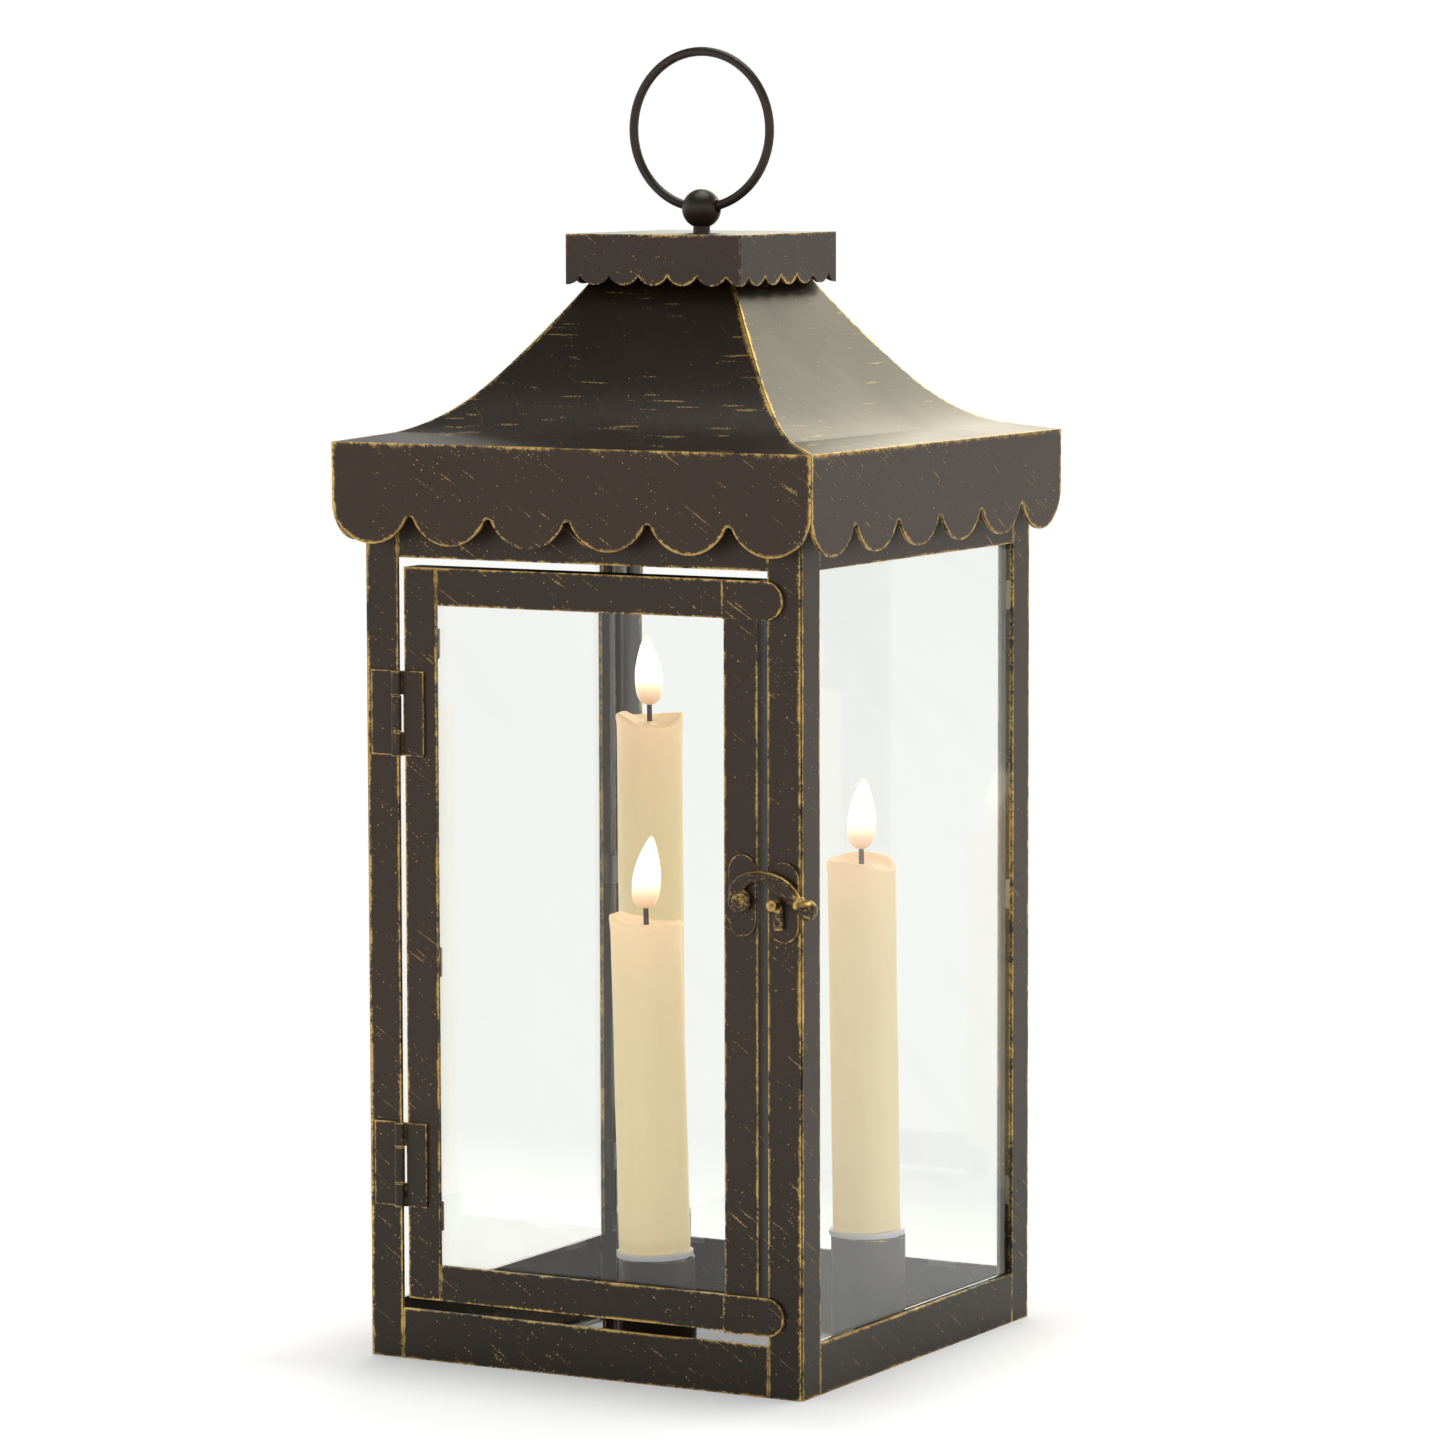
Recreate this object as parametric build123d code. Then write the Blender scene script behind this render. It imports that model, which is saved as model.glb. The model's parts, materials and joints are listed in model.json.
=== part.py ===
from build123d import *
import math
import os

# Square sheet-metal candle lantern with a glazed door, a pagoda roof and three LED tapers.
# Frame: +Z up, origin at the centre of the base on the table, door on the -Y face,
# latch side +X. All sizes are in millimetres.

# ---- driving dimensions -------------------------------------------------------------
HALF = 75.0             # half of the square body
SHEET = 1.2             # strip and sheet thickness of the frame
LEG = 11.3              # width of each leg of a corner post
FRAME_TOP = 280.3       # top of the posts, just under the roof
BASE_RAIL_TOP = 15.5
TOP_RAIL_BOTTOM = 245.4
FLOOR_T = 1.6
SEAM = 0.2              # open joint between neighbouring strips
SEAM_GROOVE_W = 0.55    # mitre groove down the outside of each corner post
SEAM_GROOVE_D = 1.0
OPEN_SEAM_BOTTOM = 17.0  # the rear left seam is left open from here to the top rail

PANE_T = 2.0
PANE_BOTTOM = 15.8
PANE_TOP = 250.0
PANE_REACH = 70.2       # half of the width of a fixed pane
PANE_GAP = 0.15         # air between a pane and the strips in front of it
CLIP_LAP = 2.4          # how far a clip reaches over the glass
CLIP_H = 9.0
CLIP_T = 1.0
CLIP_GAP = 0.1          # air between a clip and the glass behind which it sits
CLIP_HEIGHTS = (36.0, 130.0, 224.0)
SEAT_X = 45.0           # centres of the two tabs that carry a pane's lower edge
SEAT_W = 10.0
SEAT_BOTTOM = 14.0

ROOF_HALF = 82.3        # half of the square eaves
ROOF_T = 1.0
EAVES_TOP = 280.2
EAVES_BOTTOM = 249.8
SCALLOP_PITCH = 27.4
SCALLOP_R = 13.9
SCALLOP_SLOT_TOP = 256.9
SCALLOP_SLOT_R = 1.5
HIP_GAP = 0.12
# Bell curve of a panel from the cap down to the flat of the eaves: (distance from the axis, height).
ROOF_SWEEP = [(16.0, 341.0), (28.5, 322.4), (42.0, 304.0), (55.0, 289.9), (68.0, 282.8)]

CAP_HALF = 30.5
CAP_TOP = 342.2
CAP_BOTTOM = 326.8
CAP_LOBES = 6
CAP_LOBE_R = 6.0
CAP_T = 1.0
CAP_CORNER_R = 0.4

BALL_R = 6.0
BALL_Z = 349.5
BALL_NECK_R = 2.6
STUD_R = 2.0
STUD_BOTTOM = 336.6
STUD_TOP = 346.2
STUD_PLAY = 0.03        # play round the stud in the ball and the nut
NUT_R = 3.9
NUT_T = 3.0
RING_R = 23.75          # centreline radius of the carry ring
WIRE_R = 1.4
RING_AXIS_Z = 350.15    # axis of the cross bore that the ring flops about
RING_BORE_R = 2.0
RING_BOTTOM_Z = 349.8

DOOR_FACE = -75.15      # front plane of the door strips
DOOR_LEFT = -61.3
DOOR_RIGHT = 60.3
DOOR_BOTTOM = 18.9
DOOR_TOP = 242.6
STILE_W = 11.4
DOOR_FLANGE = 9.0       # depth of the flange turned back round the door, from its front face
STOP_LIP = 8.0          # depth of the lip turned back on the latch side post
DOOR_RAIL_TOP_H = 11.4
DOOR_RAIL_BOTTOM_H = 10.9
TAB_LEFT = 49.0
TAB_RIGHT = 69.4
TAB_H = 11.5
TAB_T = 1.1
DOOR_PANE_LAP = 3.4     # how far the door's pane reaches behind its strips
DOOR_CLIP_T = 0.8
DOOR_CLIP_LAP = 2.6
DOOR_CLIP_HEIGHTS = (40.0, 118.0, 215.0)

HINGE_X = -63.3
HINGE_Y = -76.8
KNUCKLE_R = 1.6
PIN_R = 0.8
PIN_BORE_R = 0.85
PIN_ROUND = 0.25        # rounding of the pin's ends
PIN_PROUD = 0.3         # how far a pin stands out at each end
LEAF_T = 0.8
HINGE_BOTTOMS = (47.2, 185.3)
HINGE_H = 25.8
KNUCKLE_END_H = 7.2     # height of each of the two door knuckles
KNUCKLE_GAP = 0.3
POST_LEAF_LEFT = -72.8
DOOR_LEAF_RIGHT = -54.2

PIVOT_X = 55.55
PIVOT_Z = 148.3
PLATE_T = 1.0
LATCH_PLATE = (55.7, 149.7, 9.1, 24.2)    # centre x, centre z, width, height
KEEPER_PLATE = (69.45, 148.2, 10.0, 23.8)
HOOK_BACK = -76.4
HOOK_T = 2.0
HOOK_CENTRE = (63.8, 145.6)
HOOK_OUTER_R = 13.0
HOOK_INNER_R = 9.3
HOOK_EYE_R = 4.0
HOOK_ARCH = (5.0, 11.0, 36.0, 24.0)       # part of the ring that is kept: centre offset, width, height
HOOK_LOBE = (2.6, 3.4, 4.6)               # swelling beside the peg: offset from the peg, radius
RIVET_R = 1.1
RIVET_BORE_R = 1.16
RIVET_HEAD_R = 2.15
RIVET_TAIL_R = 1.8
RIVET_TAIL_T = 0.5
PEG_X = 68.3
PEG_Z = 147.9
PEG_R = 1.6
PEG_FOOT_Z = 140.4      # where the bent peg leaves its plate
PEG_STANDOFF = 0.76
PEG_BEND_R = 1.8
PEG_TIP_Y = -81.6
NOTCH_R = 2.3
KNOB_R = 3.2
KNOB_AT = (78.95, -78.8, 146.9)

CUP_R = 11.5
CUP_BORE_R = 10.7
CUP_RIM = 32.8
CUP_FLOOR_T = 0.8
COLLAR_R = 11.7
COLLAR_H = 1.5
BARREL_LOW_R = 9.8
BARREL_HIGH_R = 8.8
CELL_R = 5.25
CELL_H = 44.5
CELL_BORE_R = 5.6
FLAME_R = 4.6
FLAME_H = 22.0
WICK_R = 0.8
BOWL_DEPTH = 3.0
BARREL_WALL = 1.2
CELL_BUTTON_R = 1.9
CELL_SHOULDER = 1.0     # how far the button stands above the can of a cell
WAX_EDGE_R = 0.8
FLAME_ABOVE_WAX = 1.6
CANDLE_LIFT_SEAT = 0.4  # air under a candle in its cup
# name: (x, y, height of the wax top, wax radius, lean in degrees)
CANDLES = {
    "front": (8.3, -43.4, 138.0, 10.95, 1.3),
    "right": (46.3, 18.9, 151.5, 10.6, 0.8),
    "back": (-29.6, 21.3, 192.5, 10.4, 0.3),
}
LEAN_AXIS = (-0.486, 0.874, 0.0)  # the tapers lean a little to the left of the door side

os.makedirs("parts", exist_ok=True)


def save(node, *solids):
    """Write one sub-part; several loose solids go out as one compound."""
    shapes = [s for item in solids for s in item.solids()]
    shape = shapes[0] if len(shapes) == 1 else Compound(children=shapes)
    shape.label = node
    export_step(shape, f"parts/{node}.step")


def block(x0, x1, y0, y1, z0, z1):
    """Axis-aligned box given by its limits."""
    centre = ((x0 + x1) / 2, (y0 + y1) / 2, (z0 + z1) / 2)
    return Pos(*centre) * Box(x1 - x0, y1 - y0, z1 - z0)


def rod(radius, height, x=0.0, y=0.0, z=0.0):
    """Upright cylinder standing on z."""
    return Pos(x, y, z) * Cylinder(radius, height, align=(Align.CENTER, Align.CENTER, Align.MIN))


def along_y(radius, y0, y1, x, z):
    """Cylinder lying along Y between y0 and y1."""
    return Pos(x, (y0 + y1) / 2, z) * Rot(X=90) * Cylinder(radius, y1 - y0)


def quarter(shape, turns):
    """Turn a shape made for the front face to another face of the square."""
    return Rot(Z=90 * turns) * shape


FACES = ("front", "right", "rear", "left")


# ---- body frame ---------------------------------------------------------------------
def make_posts():
    """Corner posts: an L of two strips that meet in a narrow soldered seam."""
    corners = ("front_right", "rear_right", "rear_left", "front_left")
    for turns, corner in enumerate(corners):
        across = block(HALF - LEG, HALF, -HALF, -HALF + SHEET, 0, FRAME_TOP)
        along = block(HALF - SHEET, HALF, -HALF, -HALF + LEG, 0, FRAME_TOP)
        # The seam of the rear left post is left open between its solder tacks.
        open_seam = corner == "rear_left"
        depth = 3 * SHEET if open_seam else SEAM_GROOVE_D
        z0 = OPEN_SEAM_BOTTOM if open_seam else -1.0
        z1 = TOP_RAIL_BOTTOM if open_seam else FRAME_TOP + 1
        groove = Pos(HALF, -HALF, (z0 + z1) / 2) * Rot(Z=-45) * Box(2 * depth, SEAM_GROOVE_W, z1 - z0)
        post = across + along - groove
        if corner == "front_right":
            lip_x = HALF - LEG
            back = -HALF + STOP_LIP
            post += block(lip_x, lip_x + SHEET, -HALF, back, BASE_RAIL_TOP, TOP_RAIL_BOTTOM)
        save(f"post_{corner}", quarter(post, turns))


def make_rails():
    """Strips that close the frame between the posts, at the base and under the roof."""
    reach = HALF - LEG - SEAM
    for turns, face in enumerate(FACES):
        low = block(-reach, reach, -HALF, -HALF + SHEET, 0, BASE_RAIL_TOP)
        high = block(-reach, reach, -HALF, -HALF + SHEET, TOP_RAIL_BOTTOM, FRAME_TOP)
        save(f"base_rail_{face}", quarter(low, turns))
        save(f"top_rail_{face}", quarter(high, turns))


def make_floor():
    reach = HALF - SHEET - SEAM
    save("base_plate", block(-reach, reach, -reach, reach, 0, FLOOR_T))


def make_panes():
    """Fixed glass on three sides, and the bent tabs that carry and hold it."""
    outer = -HALF + SHEET + PANE_GAP
    inner = outer + PANE_T
    flap_back = inner + CLIP_GAP
    flap_front = flap_back + CLIP_T
    tabs = []
    for turns, face in ((1, "right"), (2, "rear"), (3, "left")):
        pane = block(-PANE_REACH, PANE_REACH, outer, inner, PANE_BOTTOM, PANE_TOP)
        save(f"pane_{face}", quarter(pane, turns))
        for side in (-1, 1):
            left = side * SEAT_X - SEAT_W / 2
            seat_top = PANE_BOTTOM - SEAM
            seat = block(left, left + SEAT_W, -HALF + SHEET, flap_back, SEAT_BOTTOM, seat_top)
            tabs.append(quarter(seat, turns))
            for z in CLIP_HEIGHTS:
                lip = side * (PANE_REACH - CLIP_LAP)
                edge = side * (HALF - SHEET)
                flap = block(min(lip, edge), max(lip, edge), flap_back, flap_front, z, z + CLIP_H)
                tabs.append(quarter(flap, turns))
    save("pane_clips", *tabs)


# ---- roof ---------------------------------------------------------------------------
def roof_section():
    """Section of a roof panel in the (distance from axis, height) plane."""
    sweep = ROOF_SWEEP
    eaves = (ROOF_HALF, EAVES_TOP)
    inside = [(h - ROOF_T, z - ROOF_T) for h, z in sweep]
    outline = [
        Spline(*sweep),
        Line(sweep[-1], eaves),
        Line(eaves, (ROOF_HALF, EAVES_BOTTOM)),
        Line((ROOF_HALF, EAVES_BOTTOM), (ROOF_HALF - ROOF_T, EAVES_BOTTOM)),
        Line((ROOF_HALF - ROOF_T, EAVES_BOTTOM), (ROOF_HALF - ROOF_T, EAVES_TOP - ROOF_T)),
        Line((ROOF_HALF - ROOF_T, EAVES_TOP - ROOF_T), inside[-1]),
        Spline(*inside),
        Line(inside[0], sweep[0]),
    ]
    return make_face(Curve() + outline)


def scallop_cutter():
    """What is cut from the hanging edge of the eaves to leave six round lobes."""
    lobe_z = EAVES_BOTTOM + SCALLOP_R
    reach = ROOF_HALF + 1
    low = EAVES_BOTTOM - 2
    strip = Pos(0, (low + SCALLOP_SLOT_TOP) / 2) * Rectangle(2 * reach, SCALLOP_SLOT_TOP - low)
    for side in (-1, 1):
        strip += Pos(side * (reach - 2), (EAVES_BOTTOM + lobe_z) / 2) * Rectangle(4, SCALLOP_R)
    for k in range(6):
        strip -= Pos((k - 2.5) * SCALLOP_PITCH, lobe_z) * Circle(SCALLOP_R)
    for k in range(5):
        strip += Pos((k - 2) * SCALLOP_PITCH, SCALLOP_SLOT_TOP) * Circle(SCALLOP_SLOT_R)
    sheet = Plane.XZ * strip
    return Pos(0, -ROOF_HALF, 0) * extrude(sheet, 5, both=True)


def make_roof():
    """Four bent panels, mitred along the hips, each with its scalloped edge."""
    # The section is drawn as (distance, height); it is stood up so that distance runs to -Y.
    plane = Plane(origin=(0, 0, 0), x_dir=(0, -1, 0), z_dir=(-1, 0, 0))
    strip = extrude(plane * roof_section(), ROOF_HALF + 1, both=True)
    tip = -math.sqrt(2) * HIP_GAP
    far = ROOF_HALF + 1
    wedge = Polyline((0, tip), (-far - tip, -far), (far + tip, -far), close=True)
    mitre = Pos(0, 0, EAVES_BOTTOM - 1) * extrude(make_face(wedge), 100)
    panel = (strip & mitre) - scallop_cutter()
    for turns, face in enumerate(FACES):
        save(f"roof_panel_{face}", quarter(panel, turns))


def make_cap():
    """Square lid over the top of the roof, with a small scalloped skirt."""
    height = CAP_TOP - CAP_BOTTOM
    shell = block(-CAP_HALF, CAP_HALF, -CAP_HALF, CAP_HALF, CAP_BOTTOM, CAP_TOP)
    inner = CAP_HALF - CAP_T
    shell -= block(-inner, inner, -inner, inner, CAP_BOTTOM - 1, CAP_TOP - CAP_T)
    shell = fillet(shell.edges().filter_by(Axis.Z).group_by(SortBy.DISTANCE)[-1], CAP_CORNER_R)
    shell -= rod(STUD_R + 0.15, 4, z=CAP_TOP - 2)
    pitch = 2 * CAP_HALF / CAP_LOBES
    lobe_z = CAP_BOTTOM + CAP_LOBE_R
    slot_h = CAP_LOBE_R - math.sqrt(CAP_LOBE_R**2 - (pitch / 2) ** 2)
    teeth = Pos(0, CAP_BOTTOM + (slot_h - 1) / 2) * Rectangle(2 * CAP_HALF + 2, slot_h + 1)
    for k in range(CAP_LOBES + 1):
        teeth -= Pos((k - CAP_LOBES / 2) * pitch, lobe_z) * Circle(CAP_LOBE_R)
    for turns in (0, 1):
        cutter = extrude(Plane.XZ * teeth, height * 3, both=True)
        shell -= quarter(cutter, turns)
    save("roof_cap", shell)


def make_finial():
    """Ball with the cross bore for the ring, and the stud and nut that clamp it to the cap."""
    ball = Pos(0, 0, BALL_Z) * Sphere(BALL_R)
    ball += rod(BALL_NECK_R, BALL_Z - BALL_R - CAP_TOP + 1.2, z=CAP_TOP)
    ball -= Pos(0, 0, RING_AXIS_Z) * Rot(Y=90) * Cylinder(RING_BORE_R, 4 * BALL_R)
    ball -= rod(STUD_R + STUD_PLAY, STUD_TOP + 0.2 - CAP_TOP + 1, z=CAP_TOP - 1)
    save("finial_ball", ball)
    save("finial_stud", rod(STUD_R, STUD_TOP - STUD_BOTTOM, z=STUD_BOTTOM))
    nut = Pos(0, 0, CAP_TOP - CAP_T - NUT_T) * extrude(RegularPolygon(NUT_R, 6), NUT_T)
    save("finial_nut", nut - rod(STUD_R + STUD_PLAY, 20, z=STUD_BOTTOM - 5))


def make_ring():
    ring = Pos(0, 0, RING_BOTTOM_Z + RING_R) * Rot(X=90) * Torus(RING_R, WIRE_R)
    save("carry_ring", ring)


# ---- door ---------------------------------------------------------------------------
def make_door():
    """Glazed door: stiles and rails of angle strip, the pane and the clips behind it."""
    back = DOOR_FACE + SHEET
    deep = DOOR_FACE + DOOR_FLANGE
    inner_left = DOOR_LEFT + STILE_W
    inner_right = DOOR_RIGHT - STILE_W
    stile = block(DOOR_LEFT, inner_left - SEAM, DOOR_FACE, back, DOOR_BOTTOM, DOOR_TOP)
    stile += block(DOOR_LEFT, DOOR_LEFT + SHEET, DOOR_FACE, deep, DOOR_BOTTOM, DOOR_TOP)
    save("door_stile_hinge_side", stile)
    stile = block(inner_right + SEAM, DOOR_RIGHT, DOOR_FACE, back, DOOR_BOTTOM, DOOR_TOP)
    stile += block(DOOR_RIGHT - SHEET, DOOR_RIGHT, DOOR_FACE, deep, DOOR_BOTTOM, DOOR_TOP)
    save("door_stile_latch_side", stile - along_y(RIVET_R + 0.02, -80, -70, PIVOT_X, PIVOT_Z))

    low_top = DOOR_BOTTOM + DOOR_RAIL_BOTTOM_H
    high_bottom = DOOR_TOP - DOOR_RAIL_TOP_H
    flange_left = DOOR_LEFT + SHEET + SEAM
    flange_right = DOOR_RIGHT - SHEET - SEAM
    for name, z0, z1, edge in (
        ("door_rail_top", high_bottom, DOOR_TOP, DOOR_TOP - SHEET),
        ("door_rail_bottom", DOOR_BOTTOM, low_top, DOOR_BOTTOM),
    ):
        rail = block(inner_left, inner_right, DOOR_FACE, back, z0, z1)
        rail += block(flange_left, flange_right, back + 0.05, deep, edge, edge + SHEET)
        rail += block(inner_left, inner_right, back, back + 1, edge, edge + SHEET)
        save(name, rail)

    pane_left = inner_left - DOOR_PANE_LAP
    pane_right = inner_right + DOOR_PANE_LAP
    pane_front = back + PANE_GAP
    pane_back = pane_front + PANE_T
    z0 = low_top - DOOR_PANE_LAP
    z1 = high_bottom + DOOR_PANE_LAP
    save("door_pane", block(pane_left, pane_right, pane_front, pane_back, z0, z1))

    clips = []
    flap_front = pane_back + CLIP_GAP
    flap_back = flap_front + DOOR_CLIP_T
    for side, edge in ((-1, pane_left), (1, pane_right)):
        for z in DOOR_CLIP_HEIGHTS:
            root = edge + side * 0.2
            foot = edge + side * 3.0
            lip = edge - side * DOOR_CLIP_LAP
            web = block(min(root, foot), max(root, foot), back, flap_back, z, z + CLIP_H)
            flap = block(min(lip, foot), max(lip, foot), flap_front, flap_back, z, z + CLIP_H)
            clips.append(web + flap)
    save("door_pane_clips", *clips)

    tabs = []
    for z0 in (DOOR_BOTTOM - 0.3, DOOR_TOP - TAB_H):
        r = TAB_H / 2
        flat = block(TAB_LEFT, TAB_RIGHT - r, DOOR_FACE - TAB_T, DOOR_FACE, z0, z0 + TAB_H)
        tabs.append(flat + along_y(r, DOOR_FACE - TAB_T, DOOR_FACE, TAB_RIGHT - r, z0 + r))
    save("door_stop_tabs", *tabs)


# ---- hinges -------------------------------------------------------------------------
def knuckle(z0, z1):
    return rod(KNUCKLE_R, z1 - z0, HINGE_X, HINGE_Y, z0)


def pin_bore(z0, z1):
    return rod(PIN_BORE_R, z1 - z0, HINGE_X, HINGE_Y, z0)


def make_hinges():
    """Two butt hinges: outer knuckles on the door leaf, the long middle one on the post."""
    post_leaves = []
    door_leaves = []
    pins = []
    for z0 in HINGE_BOTTOMS:
        z1 = z0 + HINGE_H
        mid0 = z0 + KNUCKLE_END_H + KNUCKLE_GAP
        mid1 = z1 - KNUCKLE_END_H - KNUCKLE_GAP
        clear = HINGE_X - KNUCKLE_R - KNUCKLE_GAP
        post_leaf = block(POST_LEAF_LEFT, clear, -HALF - LEAF_T, -HALF, z0, z1)
        post_leaf += block(clear, HINGE_X, -HALF - LEAF_T, -HALF, mid0, mid1)
        post_leaf += knuckle(mid0, mid1)
        post_leaves.append(post_leaf - pin_bore(z0 - 1, z1 + 1))

        door_leaf = block(DOOR_LEFT, DOOR_LEAF_RIGHT, DOOR_FACE - LEAF_T, DOOR_FACE, z0, z1)
        for low, high in ((z0, z0 + KNUCKLE_END_H), (z1 - KNUCKLE_END_H, z1)):
            door_leaf += block(HINGE_X, DOOR_LEFT, DOOR_FACE - LEAF_T, DOOR_FACE, low, high)
            door_leaf += knuckle(low, high)
        door_leaves.append(door_leaf - pin_bore(z0 - 1, z1 + 1))

        pin = rod(PIN_R, HINGE_H + 2 * PIN_PROUD, HINGE_X, HINGE_Y, z0 - PIN_PROUD)
        pins.append(fillet(pin.edges(), PIN_ROUND))
    save("hinge_post_leaves", *post_leaves)
    save("hinge_door_leaves", *door_leaves)
    save("hinge_pins", *pins)


# ---- latch --------------------------------------------------------------------------
def stadium(x, z, width, height, y0, y1):
    """Upright plate with round ends, standing off the front face."""
    outline = Plane.XZ * (Pos(x, z) * Rot(Z=90) * SlotOverall(height, width))
    return Pos(0, y1, 0) * extrude(outline, y1 - y0)


def make_latch():
    """Swinging hook on a rivet in the door, and the peg on the post that it drops over."""
    plate = stadium(*LATCH_PLATE, DOOR_FACE - PLATE_T, DOOR_FACE)
    save("latch_plate", plate - along_y(RIVET_R + 0.02, -80, -70, PIVOT_X, PIVOT_Z))

    hook_front = HOOK_BACK - HOOK_T
    head_back = hook_front - 0.1
    tail = DOOR_FACE + SHEET
    rivet = along_y(RIVET_R, head_back - 0.5, tail + RIVET_TAIL_T, PIVOT_X, PIVOT_Z)
    dome = Pos(PIVOT_X, head_back, PIVOT_Z) * scale(Sphere(RIVET_HEAD_R), (1, 0.5, 1))
    rivet += dome & block(50, 60, head_back - 3, head_back, 140, 155)
    rivet += along_y(RIVET_TAIL_R, tail, tail + RIVET_TAIL_T, PIVOT_X, PIVOT_Z)
    save("latch_rivet", rivet)

    cx, cz = HOOK_CENTRE
    band = Pos(cx, cz) * (Circle(HOOK_OUTER_R) - Circle(HOOK_INNER_R))
    arch_x, arch_z, arch_w, arch_h = HOOK_ARCH
    band &= Pos(cx + arch_x, cz + arch_z) * Rectangle(arch_w, arch_h)
    outline = band + Pos(PIVOT_X, PIVOT_Z) * Circle(HOOK_EYE_R)
    # The inner lobe thickens the band over the peg and carries the notch.
    lobe_x, lobe_z, lobe_r = HOOK_LOBE
    lobe = Pos(PEG_X + lobe_x, PEG_Z + lobe_z) * Circle(lobe_r)
    outline += lobe & (Pos(cx, cz) * Circle(HOOK_OUTER_R - 0.5))
    outline -= Pos(PEG_X, PEG_Z) * Circle(NOTCH_R)
    outline -= Pos(PEG_X, PEG_Z - 4) * Rectangle(2 * NOTCH_R, 8)
    outline -= Pos(PIVOT_X, PIVOT_Z) * Circle(RIVET_BORE_R)
    hook = Pos(0, HOOK_BACK, 0) * extrude(Plane.XZ * outline, HOOK_T)
    save("latch_hook", hook)

    knob = Pos(*KNOB_AT) * Sphere(KNOB_R)
    save("latch_knob", knob - hook)

    save("keeper_plate", stadium(*KEEPER_PLATE, -HALF - PLATE_T, -HALF))

    front = -HALF - PLATE_T
    path = FilletPolyline(
        (PEG_X, front - PEG_STANDOFF, PEG_FOOT_Z),
        (PEG_X, front - PEG_STANDOFF - 0.5, PEG_Z),
        (PEG_X, PEG_TIP_Y, PEG_Z),
        radius=PEG_BEND_R,
    )
    peg = sweep(Plane(path @ 0, z_dir=path % 0) * Circle(PEG_R), path)
    peg = peg & block(60, 80, -90, front, 130, 160)
    save("keeper_peg", peg)


# ---- candles ------------------------------------------------------------------------
def make_cup(name, x, y):
    """Turned metal cup, fixed to the floor, that the candle drops into."""
    cup = rod(CUP_R, CUP_RIM - FLOOR_T, x, y, FLOOR_T)
    cup -= rod(CUP_BORE_R, CUP_RIM, x, y, FLOOR_T + CUP_FLOOR_T)
    save(f"cup_{name}", cup)


def flame_profile():
    """Half outline of the flame lens: a bulb that draws up to a point."""
    base = (0, 0)
    foot = (1.6, 0)
    widest = (FLAME_R, 0.36 * FLAME_H)
    shoulder = (0.62 * FLAME_R, 0.72 * FLAME_H)
    tip = (0, FLAME_H)
    side = Spline(foot, widest, shoulder, tip, tangents=[(1, 0.6), (-0.35, 1)])
    return make_face(Curve() + [Line(base, foot), side, Line(tip, base)])


def make_candle(name, x, y, wax_top, wax_r, lean):
    """LED taper: battery barrel with its collar, wax shell, cells, wick stem and flame."""
    bottom = FLOOR_T + CUP_FLOOR_T + CANDLE_LIFT_SEAT
    collar = CUP_RIM + CANDLE_LIFT_SEAT - bottom
    top = wax_top - bottom
    barrel_top = top - BOWL_DEPTH - 3.0

    def lean_turn(shape):
        return Pos(x, y, bottom) * shape.rotate(Axis((0, 0, 0), LEAN_AXIS), -lean)

    barrel = rod(BARREL_LOW_R, collar)
    barrel += rod(COLLAR_R, COLLAR_H, z=collar)
    barrel += rod(BARREL_HIGH_R, barrel_top - collar, z=collar)
    barrel -= rod(CELL_BORE_R, barrel_top - BARREL_WALL, z=BARREL_WALL)
    save(f"{name}_candle_barrel", lean_turn(barrel))

    cells = []
    for k in range(2):
        z0 = BARREL_WALL + 0.3 + k * (CELL_H + 0.3)
        cell = rod(CELL_R, CELL_H - CELL_SHOULDER, z=z0) + rod(CELL_BUTTON_R, CELL_H, z=z0)
        cells.append(lean_turn(cell))
    save(f"{name}_candle_cells", *cells)

    wax_bottom = collar + COLLAR_H
    wax = rod(wax_r, top - wax_bottom, z=wax_bottom)
    wax -= rod(BARREL_HIGH_R + 0.1, barrel_top + 0.2 - wax_bottom, z=wax_bottom)
    bowl = Pos(0, 0, top + 9.0) * Sphere(9.0 + BOWL_DEPTH)
    wax -= bowl
    wax -= rod(WICK_R + 0.15, 20, z=top - 15)
    wax = fillet(wax.edges().group_by(Axis.Z)[-1], WAX_EDGE_R)
    save(f"{name}_candle_wax", lean_turn(wax))

    flame_z = top + FLAME_ABOVE_WAX
    stem = rod(WICK_R, flame_z - barrel_top + 2, z=barrel_top - 2)
    stem += rod(CELL_BORE_R - 0.1, 2.5, z=barrel_top - 3.0)
    save(f"{name}_candle_wick", lean_turn(stem))

    lens = revolve(Plane.XZ * flame_profile(), Axis.Z)
    save(f"{name}_candle_flame", lean_turn(Pos(0, 0, flame_z) * lens))


def make_candles():
    for name, (x, y, wax_top, wax_r, lean) in CANDLES.items():
        make_cup(name, x, y)
        make_candle(name, x, y, wax_top, wax_r, lean)


make_floor()
make_posts()
make_rails()
make_panes()
make_roof()
make_cap()
make_finial()
make_ring()
make_door()
make_hinges()
make_latch()
make_candles()
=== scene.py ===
import json
import math

import bpy
from mathutils import Matrix, Vector, noise


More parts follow.
